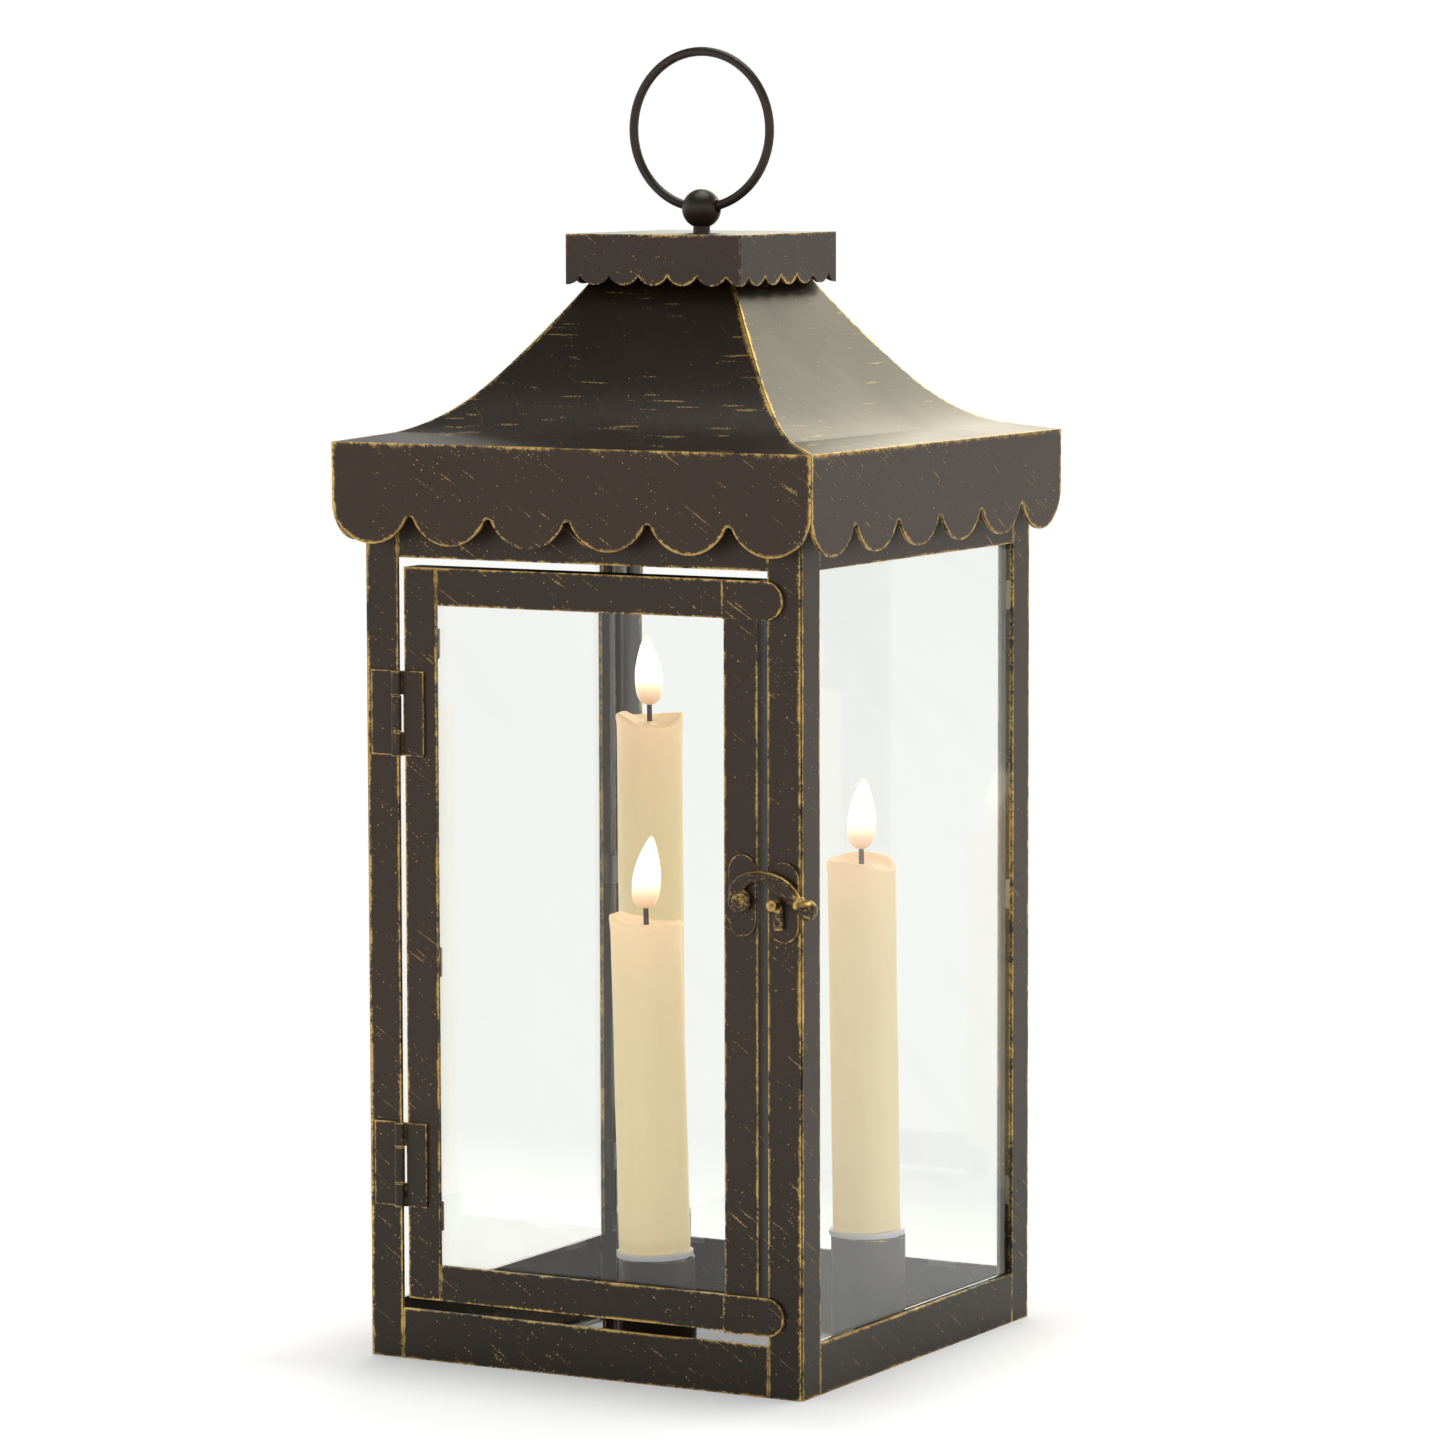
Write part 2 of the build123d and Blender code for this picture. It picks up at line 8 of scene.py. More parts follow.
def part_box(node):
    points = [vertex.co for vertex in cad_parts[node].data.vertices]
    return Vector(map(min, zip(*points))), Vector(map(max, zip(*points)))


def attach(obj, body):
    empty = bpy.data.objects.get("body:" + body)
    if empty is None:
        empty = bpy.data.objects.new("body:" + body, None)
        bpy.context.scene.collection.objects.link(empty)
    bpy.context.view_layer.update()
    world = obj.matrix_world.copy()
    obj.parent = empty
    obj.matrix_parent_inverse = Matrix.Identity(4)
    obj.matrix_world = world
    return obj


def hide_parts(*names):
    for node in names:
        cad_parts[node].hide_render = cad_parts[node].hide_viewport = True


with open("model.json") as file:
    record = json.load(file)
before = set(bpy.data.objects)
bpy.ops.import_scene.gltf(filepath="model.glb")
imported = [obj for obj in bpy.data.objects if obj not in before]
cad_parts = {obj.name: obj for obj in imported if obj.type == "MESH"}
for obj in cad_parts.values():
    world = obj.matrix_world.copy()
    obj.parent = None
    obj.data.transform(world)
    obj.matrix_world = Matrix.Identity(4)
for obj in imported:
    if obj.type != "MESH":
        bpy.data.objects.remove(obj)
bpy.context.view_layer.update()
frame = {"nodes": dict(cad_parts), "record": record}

MM = 0.001

# ---- camera -------------------------------------------------------------------------
CAMERA_AZIMUTH = 29.094
CAMERA_ELEVATION = 5.666
CAMERA_ROLL = -0.146
CAMERA_DISTANCE = 1.946214
CAMERA_LENS = 157.27
AIM_ACROSS = 0.006003
AIM_HEIGHT = 0.191536

# ---- candles ------------------------------------------------------------------------
# Lean from upright in degrees; radius, and how far the flame's tip drifts, in mm. The rim has the depth
# of its slow dip and of its shorter wave in mm, then the slow dip's place round the rim and a seed.
LEAN_AXIS = Vector((-0.486, 0.874, 0.0))
FLAME_DRIFT = Vector((0.874, 0.486, 0.0))
CANDLES = {
    "front": {"lean": 1.3, "radius": 10.95, "drift": 2.3, "rim": (2.6, 1.9, 3.6, 1.1)},
    "right": {"lean": 0.8, "radius": 10.6, "drift": 1.1, "rim": (2.4, 1.7, 2.9, 4.4)},
    "back": {"lean": 0.3, "radius": 10.4, "drift": -0.9, "rim": (2.0, 2.2, 2.4, 0.4)},
}

# Height of the cups' floor, height of the wax's lower edge above it, and the wax's bore, in mm.
CUP_FLOOR = 2.8
WAX_FOOT = 32.15
WAX_BORE_RADIUS = 8.95

# ---- latch --------------------------------------------------------------------------
# Where the hook lies in depth, how far its neck comes forward of that, and the ball's radius, in mm.
HOOK_DEPTH = -77.5
NECK_LIFT = -0.6
KNOB_RADIUS = 3.1
KNOB_DIRECTION = (0.86, -0.28, -0.42)
# Grid that a forged skin is drawn on, in metres.
HOOK_FINENESS = 0.00022
KNOB_FINENESS = 0.00018

# ---- finishes (linear colour) -------------------------------------------------------
DARK_BRONZE = (0.034, 0.0175, 0.0115)
ROOF_BRONZE = (0.041, 0.0215, 0.0150)
FLOOR_BRONZE = (0.009, 0.0075, 0.006)
# Darker paint for upturned sheet, and painted shade towards the foot of the body.
DARKER_TOP_AND_PAINTED_FOOT_SHADE = (0.0125, 0.0062, 0.0032)
RUBBED_GOLD = (1.0, 0.68, 0.22)
OLD_GOLD = (0.62, 0.37, 0.10)
COAT_TINT = (1.0, 0.95, 0.84, 1.0)
STEEL_DULL = (0.33, 0.32, 0.30)
STEEL_PALE = (0.56, 0.55, 0.52)
STEEL_RUBBED = (0.72, 0.71, 0.68)
GLASS_CLEAN = (0.945, 0.955, 0.937)
GLASS_WIPED = (0.920, 0.932, 0.912)
GLASS_SHADOW = (0.93, 0.96, 0.94, 1.0)
WAX_DEEP = (0.84, 0.68, 0.38)
WAX_PALE = (0.93, 0.79, 0.50)
# Painted light on the wax: warm colour from the flame, and the wax's own glow low down and at the top.
WAX_PAINTED_WARM_LIGHT = (0.95, 0.74, 0.50)
WAX_LOW_PAINTED_GLOW = (0.56, 0.43, 0.23)
WAX_TOP_PAINTED_GLOW = (1.05, 0.66, 0.34)
LENS_FOOT = (0.55, 0.38, 0.22)
LENS_TIP = (0.85, 0.75, 0.52)
FLAME_FOOT = (0.16, 0.085, 0.05, 1.0)
FLAME_TIP = (0.62, 0.50, 0.27, 1.0)
# Share of the flame's height, and its light there.
FLAME_STOPS = [
    (0.10, (0.26, 0.17, 0.11, 1.0)),
    (0.22, (0.40, 0.30, 0.19, 1.0)),
    (0.36, (0.72, 0.64, 0.44, 1.0)),
    (0.50, (1.0, 0.94, 0.80, 1.0)),
    (0.78, (1.0, 0.93, 0.76, 1.0)),
    (0.92, (0.78, 0.67, 0.42, 1.0)),
]

# ---- where paint is worn, and where painted shade darkens the foot, as heights in metres ---
EAVES_FROM = (0.272, 0.2795)
EAVES_TO = (0.286, 0.2815)
CAP_FROM = (0.3255, 0.3262)
# Below this height the paint darkens towards the bottom as painted shade.
PAINTED_FOOT_SHADE_TOP = 0.11


# ---- laying out nodes ---------------------------------------------------------------
class Net:
    """Lays out the nodes of a material, a group or the world."""

    def __init__(self, tree):
        self.tree = tree

    def node(self, kind, inputs=None, **settings):
        made = self.tree.nodes.new(kind)
        for name, value in settings.items():
            setattr(made, name, value)
        for name, value in (inputs or {}).items():
            self.feed(made.inputs[name], value)
        return made

    def feed(self, socket, value):
        if isinstance(value, bpy.types.NodeSocket):
            self.tree.links.new(value, socket)
        else:
            socket.default_value = value

    def sums(self, operation, *values, clamp=False):
        made = self.node("ShaderNodeMath", operation=operation, use_clamp=clamp)
        for socket, value in zip(made.inputs, values):
            self.feed(socket, value)
        return made.outputs[0]

    def step(self, value, low, high):
        """0 under low, 1 over high, smooth between."""
        made = self.node("ShaderNodeMapRange", interpolation_type="SMOOTHSTEP")
        for name, given in (("Value", value), ("From Min", low), ("From Max", high)):
            self.feed(made.inputs[name], given)
        return made.outputs["Result"]

    def blend(self, share, first, second):
        """Mix of two colours."""
        made = self.node("ShaderNodeMix", data_type="RGBA")
        for index, given in ((0, share), (6, first), (7, second)):
            if isinstance(given, tuple):
                given = (*given, 1.0)
            self.feed(made.inputs[index], given)
        return made.outputs[2]

    def between(self, share, first, second):
        """Mix of two numbers."""
        made = self.node("ShaderNodeMix", data_type="FLOAT")
        for index, given in ((0, share), (2, first), (3, second)):
            self.feed(made.inputs[index], given)
        return made.outputs[0]

    def grain(self, where, scale, detail=2.0, roughness=0.5):
        made = self.node("ShaderNodeTexNoise", {"Vector": where, "Scale": scale, "Detail": detail})
        made.inputs["Roughness"].default_value = roughness
        return made.outputs["Factor" if "Factor" in made.outputs else "Fac"]

    def apart(self, vector):
        """The three numbers of a vector."""
        return self.node("ShaderNodeSeparateXYZ", {"Vector": vector}).outputs

    def turned(self, where, angle):
        """A place turned about its third axis."""
        made = self.node("ShaderNodeVectorRotate", {"Vector": where, "Angle": angle})
        made.rotation_type = "Z_AXIS"
        return made.outputs[0]

    def stretched(self, where, scales):
        """A place with each axis scaled on its own."""
        made = self.node("ShaderNodeVectorMath", operation="MULTIPLY")
        self.feed(made.inputs[0], where)
        made.inputs[1].default_value = scales
        return made.outputs[0]

    def group(self, tree, **inputs):
        made = self.tree.nodes.new("ShaderNodeGroup")
        made.node_tree = tree
        for name, value in inputs.items():
            self.feed(made.inputs[name.replace("_", " ")], value)
        return made.outputs


def new_group(name, inputs, outputs):
    """A node group with named sockets. Returns its tree, its net and its inner in and out sockets."""
    tree = bpy.data.node_groups.new(name, "ShaderNodeTree")
    for socket, kind, default in inputs:
        made = tree.interface.new_socket(socket, in_out="INPUT", socket_type=f"NodeSocket{kind}")
        made.default_value = default
    for socket, kind in outputs:
        tree.interface.new_socket(socket, in_out="OUTPUT", socket_type=f"NodeSocket{kind}")
    net = Net(tree)
    given = tree.nodes.new("NodeGroupInput").outputs
    result = tree.nodes.new("NodeGroupOutput").inputs
    return tree, net, given, result


# ---- shared effects -----------------------------------------------------------------
def make_sheet_coordinates():
    """Runs along and up the face of a strip, whichever way it faces."""
    tree, net, _, result = new_group("sheet coordinates", [], [("Place", "Vector")])
    coordinates = net.node("ShaderNodeTexCoord")
    place = net.apart(coordinates.outputs["Object"])
    facing = net.apart(coordinates.outputs["Normal"])
    side = net.sums("GREATER_THAN", net.sums("ABSOLUTE", facing[0]), net.sums("ABSOLUTE", facing[1]))
    along = net.between(side, place[0], place[1])
    back = net.between(side, net.sums("SIGN", facing[1]), net.sums("SIGN", facing[0]))
    layer = net.sums("ADD", net.sums("MULTIPLY", side, 0.7), net.sums("MULTIPLY", back, 0.29))
    joined = net.node("ShaderNodeCombineXYZ", {"X": along, "Y": place[2], "Z": layer})
    net.feed(result["Place"], joined.outputs[0])
    return tree


def make_rubbed_edges():
    """Ragged band along every sharp edge, where handling has rubbed the paint through."""
    tree, net, given, result = new_group(
        "rubbed edges",
        [("Reach", "Float", 0.0012), ("Cover", "Float", 0.0), ("Ragged", "Float", 1.0)],
        [("Rub", "Float"), ("Near", "Float")],
    )
    place = net.node("ShaderNodeTexCoord").outputs["Object"]
    rounded = net.node("ShaderNodeBevel", {"Radius": given["Reach"]}, samples=6)
    flat = net.node("ShaderNodeNewGeometry").outputs["Normal"]
    meet = net.node("ShaderNodeVectorMath", operation="DOT_PRODUCT")
    net.feed(meet.inputs[0], rounded.outputs[0])
    net.feed(meet.inputs[1], flat)
    near = net.sums("MULTIPLY", net.sums("SUBTRACT", 1.0, meet.outputs["Value"]), 3.4, clamp=True)
    fine = net.sums("SUBTRACT", net.grain(place, 1150.0, 3.0, 0.65), 0.5)
    patch = net.sums("SUBTRACT", net.grain(place, 300.0, 2.0), 0.5)
    broad = net.sums("SUBTRACT", net.grain(place, 38.0, 1.0), 0.5)
    rough = net.sums("MULTIPLY_ADD", fine, 3.4, net.sums("MULTIPLY", patch, 2.6))
    rough = net.sums("MULTIPLY", net.sums("MULTIPLY_ADD", broad, 2.2, rough), given["Ragged"])
    pressed = net.sums("ADD", near, net.sums("ADD", rough, given["Cover"]))
    band = net.step(pressed, 0.56, 0.74)
    net.feed(result["Rub"], net.sums("MULTIPLY", band, net.step(near, 0.01, 0.08)))
    net.feed(result["Near"], near)
    return tree


def make_drag_marks(sheet):
    """Fine broken lines dragged across the paint, in loose patches."""
    tree, net, given, result = new_group(
        "drag marks",
        [("Slant", "Float", 0.0), ("Length", "Float", 0.02), ("Amount", "Float", 0.5)],
        [("Marks", "Float")],
    )
    place = net.group(sheet)["Place"]
    parts = net.apart(net.turned(place, given["Slant"]))
    along = net.sums("DIVIDE", parts[0], given["Length"])
    across = net.sums("MULTIPLY", parts[1], 1250.0)
    drawn = net.node("ShaderNodeCombineXYZ", {"X": along, "Y": across, "Z": parts[2]}).outputs[0]
    line = net.sums("SUBTRACT", net.grain(drawn, 1.0, 0.0), 0.5)
    broken = net.sums("SUBTRACT", net.grain(place, 1700.0, 1.0), 0.5)
    patch = net.sums("SUBTRACT", net.grain(place, 34.0, 1.0), 0.5)
    level = net.sums("MULTIPLY_ADD", line, 4.0, net.sums("MULTIPLY", patch, 1.3))
    level = net.sums("MULTIPLY_ADD", broken, 1.9, level)
    limit = net.sums("SUBTRACT", 1.75, given["Amount"])
    marks = net.step(level, limit, net.sums("ADD", limit, 0.35))
    net.feed(result["Marks"], marks)
    return tree


def make_paint_chips(sheet):
    """Tiny round chips in the paint, few and of mixed size."""
    tree, net, given, result = new_group(
        "paint chips",
        [("Spacing", "Float", 0.004), ("Size", "Float", 0.07), ("Share", "Float", 0.3)],
        [("Chips", "Float")],
    )
    place = net.group(sheet)["Place"]
    wobble = net.node("ShaderNodeTexNoise", {"Vector": place, "Scale": 700.0})
    shift = net.node("ShaderNodeVectorMath", operation="MULTIPLY_ADD")
    net.feed(shift.inputs[0], wobble.outputs["Color"])
    shift.inputs[1].default_value = (0.0006, 0.0006, 0.0)
    net.feed(shift.inputs[2], place)
    cells = net.node("ShaderNodeTexVoronoi", {"Vector": shift.outputs[0]})
    net.feed(cells.inputs["Scale"], net.sums("DIVIDE", 1.0, given["Spacing"]))
    pick = net.node("ShaderNodeSeparateColor", {"Color": cells.outputs["Color"]}).outputs
    chosen = net.sums("LESS_THAN", pick[0], given["Share"])
    size = net.sums("MULTIPLY", given["Size"], net.sums("ADD", 0.35, pick[1]))
    outside = net.step(cells.outputs["Distance"], net.sums("MULTIPLY", size, 0.6), size)
    dot = net.sums("SUBTRACT", 1.0, outside)
    net.feed(result["Chips"], net.sums("MULTIPLY", dot, chosen))
    return tree


def make_wiped_paint(sheet):
    """Cloudy tone and the low ridges that a wiped-on finish leaves."""
    tree, net, given, result = new_group(
        "wiped paint",
        [("Slant", "Float", 0.0)],
        [("Tone", "Float"), ("Height", "Float")],
    )
    place = net.group(sheet)["Place"]
    wiped = net.grain(net.stretched(net.turned(place, given["Slant"]), (55.0, 900.0, 30.0)), 1.0, 2.0)
    cloud = net.grain(place, 28.0, 3.0)
    orange_peel = net.grain(place, 900.0, 1.0)
    tone = net.sums("MULTIPLY_ADD", cloud, 0.65, net.sums("MULTIPLY", wiped, 0.35))
    net.feed(result["Tone"], tone)
    net.feed(result["Height"], net.sums("MULTIPLY_ADD", wiped, 0.6, net.sums("MULTIPLY", orange_peel, 0.4)))
    return tree


def make_wax_mottle():
    """Clouded tone and soft ripples of dipped wax."""
    tree, net, _, result = new_group("wax mottle", [], [("Tone", "Float"), ("Height", "Float")])
    place = net.node("ShaderNodeTexCoord").outputs["Object"]
    drawn = net.stretched(place, (1.0, 1.0, 0.22))
    cloud = net.grain(drawn, 70.0, 3.0)
    ripple = net.grain(drawn, 190.0, 2.0)
    pores = net.grain(place, 1400.0, 1.0)
    net.feed(result["Tone"], net.sums("MULTIPLY_ADD", cloud, 0.7, net.sums("MULTIPLY", ripple, 0.3)))
    net.feed(result["Height"], net.sums("MULTIPLY_ADD", ripple, 0.85, net.sums("MULTIPLY", pores, 0.15)))
    return tree


def make_glass_smears(sheet):
    """Faint wipe marks that a cloth leaves on a pane."""
    tree, net, _, result = new_group("glass smears", [], [("Smear", "Float")])
    place = net.group(sheet)["Place"]
    wipe = net.grain(net.stretched(net.turned(place, 0.6), (6.0, 60.0, 3.0)), 1.0, 2.0)
    net.feed(result["Smear"], net.step(wipe, 0.56, 0.82))
    return tree


SHEET = make_sheet_coordinates()
RUBBED_EDGES = make_rubbed_edges()
DRAG_MARKS = make_drag_marks(SHEET)
PAINT_CHIPS = make_paint_chips(SHEET)
WIPED_PAINT = make_wiped_paint(SHEET)
WAX_MOTTLE = make_wax_mottle()
GLASS_SMEARS = make_glass_smears(SHEET)


# ---- materials ----------------------------------------------------------------------
def new_material(name):
    """A material with an empty tree. Returns it, its net and its output node."""
    material = bpy.data.materials.new(name)
    material.use_nodes = True
    material.node_tree.nodes.clear()
    net = Net(material.node_tree)
    return material, net, net.node("ShaderNodeOutputMaterial")


def bump(net, height, strength, depth):
    made = net.node("ShaderNodeBump", {"Height": height, "Strength": strength, "Distance": depth})
    return made.outputs[0]


def aged_paint(
    name, paint, gloss, reach=1.4, cover=0.0, ragged=1.0, slant=-33.0, marks=0.56, length=11.0,
    chips=0.5, chip_size=0.062, lines=0.0, top_highlight=0.0,
):
    """Dark paint over gold, rubbed through at edges, dragged and chipped on its faces.

    Lengths are in mm and slant in degrees. lines adds level marks on upturned sheet, and crest paints gold
    on the tops of small fittings as a painted highlight, where light from above would catch them.
    """
    material, net, output = new_material(name)
    tilt = math.radians(-slant)
    dragged = net.group(DRAG_MARKS, Slant=tilt, Length=length * MM, Amount=marks)["Marks"]
    lane = net.group(DRAG_MARKS, Slant=tilt, Length=2 * length * MM, Amount=marks + 0.62)["Marks"]
    spots = net.group(PAINT_CHIPS, Spacing=2.5 * MM, Size=chip_size, Share=chips)["Chips"]
    dots = net.group(PAINT_CHIPS, Spacing=0.8 * MM, Size=0.25, Share=0.6)["Chips"]
    wiped = net.group(WIPED_PAINT, Slant=tilt)
    coordinates = net.node("ShaderNodeTexCoord").outputs
    upward = net.apart(coordinates["Normal"])[2]
    height = net.apart(coordinates["Object"])[2]
    upturned = net.step(upward, 0.1, 0.3)
    slanted = net.sums("MAXIMUM", net.sums("MULTIPLY", dragged, 0.4), net.sums("MULTIPLY", lane, dots))
    if lines:
        slanted = net.sums("MULTIPLY", slanted, net.sums("MULTIPLY_ADD", upturned, -0.85, 1.0))
    worn = net.sums("MAXIMUM", slanted, net.sums("MULTIPLY", spots, 0.9))
    if lines:
        # Hands and cloths catch the eaves' top edge most; the small cap's edges keep most of their paint.
        eaves = net.sums("MULTIPLY", net.step(height, *EAVES_FROM), net.step(height, *EAVES_TO))
        cover = net.sums("MULTIPLY_ADD", eaves, 0.34, cover)
        cover = net.sums("MULTIPLY_ADD", net.step(height, *CAP_FROM), -0.26, cover)
        level = net.group(DRAG_MARKS, Slant=0.0, Length=13 * MM, Amount=lines)["Marks"]
        level = net.sums("MULTIPLY", net.sums("MULTIPLY", level, upturned), 0.32)
        worn = net.sums("MAXIMUM", worn, level)
    if top_highlight:
        # Gold where the tops face upward is a painted highlight, standing for light from above.
        top_lit = net.sums("MULTIPLY_ADD", wiped["Tone"], 0.7, upward)
        worn = net.sums("MAXIMUM", worn, net.sums("MULTIPLY", net.step(top_lit, 0.75, 1.1), top_highlight))
    edges = net.group(RUBBED_EDGES, Reach=reach * MM, Cover=cover, Ragged=ragged)
    rub = net.sums("MAXIMUM", edges["Rub"], worn)

    deep = tuple(0.72 * c for c in paint)
    lit = tuple(1.3 * c for c in paint)
    colour = net.blend(wiped["Tone"], deep, lit)
    # Darker on upturned sheet; towards the foot of the body the paint darkens as painted shade, standing for
    # the shadowed table it would mirror.
    top_dark_and_foot_shade = net.sums("MAXIMUM", upturned, net.step(height, PAINTED_FOOT_SHADE_TOP, 0.0))
    colour = net.blend(top_dark_and_foot_shade, colour, DARKER_TOP_AND_PAINTED_FOOT_SHADE)
    gold = net.blend(net.step(wiped["Tone"], 0.3, 0.7), OLD_GOLD, RUBBED_GOLD)
    shader = net.node("ShaderNodeBsdfPrincipled")
    shader.inputs["Specular Tint"].default_value = COAT_TINT
    net.feed(shader.inputs["Base Color"], net.blend(rub, colour, gold))
    net.feed(shader.inputs["Metallic"], net.sums("MULTIPLY", rub, 0.85))
    spread = 0.55 * gloss
    sheen = net.sums("MULTIPLY_ADD", wiped["Tone"], spread, gloss - 0.5 * spread)
    net.feed(shader.inputs["Roughness"], net.between(rub, sheen, 0.36))
    worn_down = net.sums("MULTIPLY", rub, 0.8)
    ridges = net.sums("SUBTRACT", net.sums("MULTIPLY", wiped["Height"], 0.35), worn_down)
    net.feed(shader.inputs["Normal"], bump(net, ridges, min(0.35, gloss), 0.00006))
    net.feed(output.inputs["Surface"], shader.outputs[0])
    return material


def brushed_steel(name):
    """Bare steel strip, brushed, and brighter along its edges."""
    material, net, output = new_material(name)
    wiped = net.group(WIPED_PAINT, Slant=0.3)
    edges = net.group(RUBBED_EDGES, Reach=0.5 * MM)
    shader = net.node("ShaderNodeBsdfPrincipled")
    shader.inputs["Metallic"].default_value = 1.0
    colour = net.blend(wiped["Tone"], STEEL_DULL, STEEL_PALE)
    net.feed(shader.inputs["Base Color"], net.blend(edges["Rub"], colour, STEEL_RUBBED))
    net.feed(shader.inputs["Roughness"], net.sums("MULTIPLY_ADD", wiped["Tone"], 0.3, 0.22))
    net.feed(shader.inputs["Normal"], bump(net, wiped["Height"], 0.3, 0.00004))
    net.feed(output.inputs["Surface"], shader.outputs[0])
    return material


def clear_glass(name):
    """Plain window glass with faint wipe marks; it lets lamplight through to what is inside."""
    material, net, output = new_material(name)
    smear = net.group(GLASS_SMEARS)["Smear"]
    shader = net.node("ShaderNodeBsdfPrincipled")
    shader.inputs["Transmission Weight"].default_value = 1.0
    shader.inputs["IOR"].default_value = 1.5
    net.feed(shader.inputs["Base Color"], net.blend(smear, GLASS_CLEAN, GLASS_WIPED))
    net.feed(shader.inputs["Roughness"], net.sums("MULTIPLY", smear, 0.03))
    open_air = net.node("ShaderNodeBsdfTransparent")
    open_air.inputs["Color"].default_value = GLASS_SHADOW
    path = net.node("ShaderNodeLightPath")
    lets_through = net.node("ShaderNodeMixShader")
    net.feed(lets_through.inputs[0], path.outputs["Is Shadow Ray"])
    net.feed(lets_through.inputs[1], shader.outputs[0])
    net.feed(lets_through.inputs[2], open_air.outputs[0])
    net.feed(output.inputs["Surface"], lets_through.outputs[0])
    return material


def ivory_wax(name):
    """Dipped wax: ivory and a little see-through, with painted light: a faint glow of its own all over,
    stronger and warmer towards the top under the flame.
    """
    material, net, output = new_material(name)
    mottle = net.group(WAX_MOTTLE)
    painted_glow = net.node("ShaderNodeAttribute", attribute_name="painted_glow").outputs["Fac"]
    shader = net.node("ShaderNodeBsdfPrincipled")
    plain = net.blend(mottle["Tone"], WAX_DEEP, WAX_PALE)
    # Painted warm light from the flame tints the upper wax.
    net.feed(shader.inputs["Base Color"], net.blend(painted_glow, plain, WAX_PAINTED_WARM_LIGHT))
    net.feed(shader.inputs["Roughness"], net.sums("MULTIPLY_ADD", mottle["Tone"], 0.2, 0.34))
    shader.inputs["Subsurface Weight"].default_value = 0.55
    shader.inputs["Subsurface Radius"].default_value = (1.0, 0.6, 0.3)
    shader.inputs["Subsurface Scale"].default_value = 0.006
    # Painted glow: the wax gives light of its own, faint all over and strongest under the flame.
    net.feed(shader.inputs["Emission Color"], net.blend(painted_glow, WAX_LOW_PAINTED_GLOW, WAX_TOP_PAINTED_GLOW))
    shader.inputs["Emission Strength"].default_value = 0.43
    net.feed(shader.inputs["Normal"], bump(net, mottle["Height"], 0.3, 0.0003))
    net.feed(output.inputs["Surface"], shader.outputs[0])
    return material


def moulded(name, low, high, rough, spread):
    """Moulded plastic with a faint grain, a little paler along its edges."""
    material, net, output = new_material(name)
    mottle = net.group(WAX_MOTTLE)
    edges = net.group(RUBBED_EDGES, Reach=0.6 * MM, Cover=0.1)
    shader = net.node("ShaderNodeBsdfPrincipled")
    pale = tuple(min(1.0, 1.12 * c) for c in high)
    body = net.blend(mottle["Tone"], low, high)
    net.feed(shader.inputs["Base Color"], net.blend(edges["Near"], body, pale))
    net.feed(shader.inputs["Roughness"], net.sums("MULTIPLY_ADD", mottle["Tone"], spread, rough))
    net.feed(shader.inputs["Normal"], bump(net, mottle["Height"], 0.2, 0.00005))
    net.feed(output.inputs["Surface"], shader.outputs[0])
    return material


def lit_flame(name):
    """Frosted flame lens, white hot in its middle and amber at its foot and tip."""
    material, net, output = new_material(name)
    height = net.node("ShaderNodeAttribute", attribute_name="climb").outputs["Fac"]
    mottle = net.group(WAX_MOTTLE)
    ramp = net.node("ShaderNodeValToRGB")
    uneven = net.sums("SUBTRACT", mottle["Tone"], 0.5)
    net.feed(ramp.inputs[0], net.sums("MULTIPLY_ADD", uneven, 0.06, height))
    stops = ramp.color_ramp.elements
    stops[0].position, stops[0].color = 0.0, FLAME_FOOT
    stops[1].position, stops[1].color = 1.0, FLAME_TIP
    for position, colour in FLAME_STOPS:
        stops.new(position).color = colour
    shader = net.node("ShaderNodeBsdfPrincipled")
    net.feed(shader.inputs["Base Color"], net.blend(height, LENS_FOOT, LENS_TIP))
    net.feed(shader.inputs["Roughness"], net.sums("MULTIPLY_ADD", mottle["Tone"], 0.1, 0.12))
    net.feed(shader.inputs["Emission Color"], ramp.outputs["Color"])
    shader.inputs["Emission Strength"].default_value = 2.2
    net.feed(output.inputs["Surface"], shader.outputs[0])
    return material


FINISHES = {
    "bronze_frame": aged_paint("aged bronze frame", DARK_BRONZE, 0.40, cover=0.06),
    "bronze_roof": aged_paint("aged bronze roof", ROOF_BRONZE, 0.34, reach=1.9, cover=0.0, lines=0.72),
    "bronze_floor": aged_paint(
        "gloss bronze floor", FLOOR_BRONZE, 0.05, cover=-0.6, marks=-0.9, chips=0.05
    ),
    "bronze_cups": aged_paint("bronze cups", DARK_BRONZE, 0.40, cover=-0.4, marks=-0.5, chips=0.05),
    "bronze_fittings": aged_paint("rubbed bronze fittings", DARK_BRONZE, 0.38, reach=1.0),
    "rubbed_gold_fittings": aged_paint(
        "fittings rubbed and highlighted in gold", DARK_BRONZE, 0.30, reach=2.2, cover=0.25, marks=1.25, length=3.0,
        chips=0.4, top_highlight=0.8,
    ),
    "bronze_ring": aged_paint(
        "bronze ring", DARK_BRONZE, 0.42, cover=-0.5, marks=0.0, length=5.0, chips=0.15
    ),
    "plain_steel": brushed_steel("plain steel clips"),
    "clear_glass": clear_glass("clear window glass"),
    "ivory_wax": ivory_wax("ivory dipped wax"),
    "white_plastic": moulded("white moulded collar", (0.80, 0.79, 0.84), (0.90, 0.89, 0.94), 0.35, 0.15),
    "cell_jacket": moulded("green cell jacket", (0.02, 0.07, 0.045), (0.035, 0.1, 0.065), 0.22, 0.1),
    "dark_wick": moulded("dark wick", (0.045, 0.017, 0.006), (0.085, 0.038, 0.016), 0.85, 0.1),
    "led_flame": lit_flame("lit flame lens"),
}
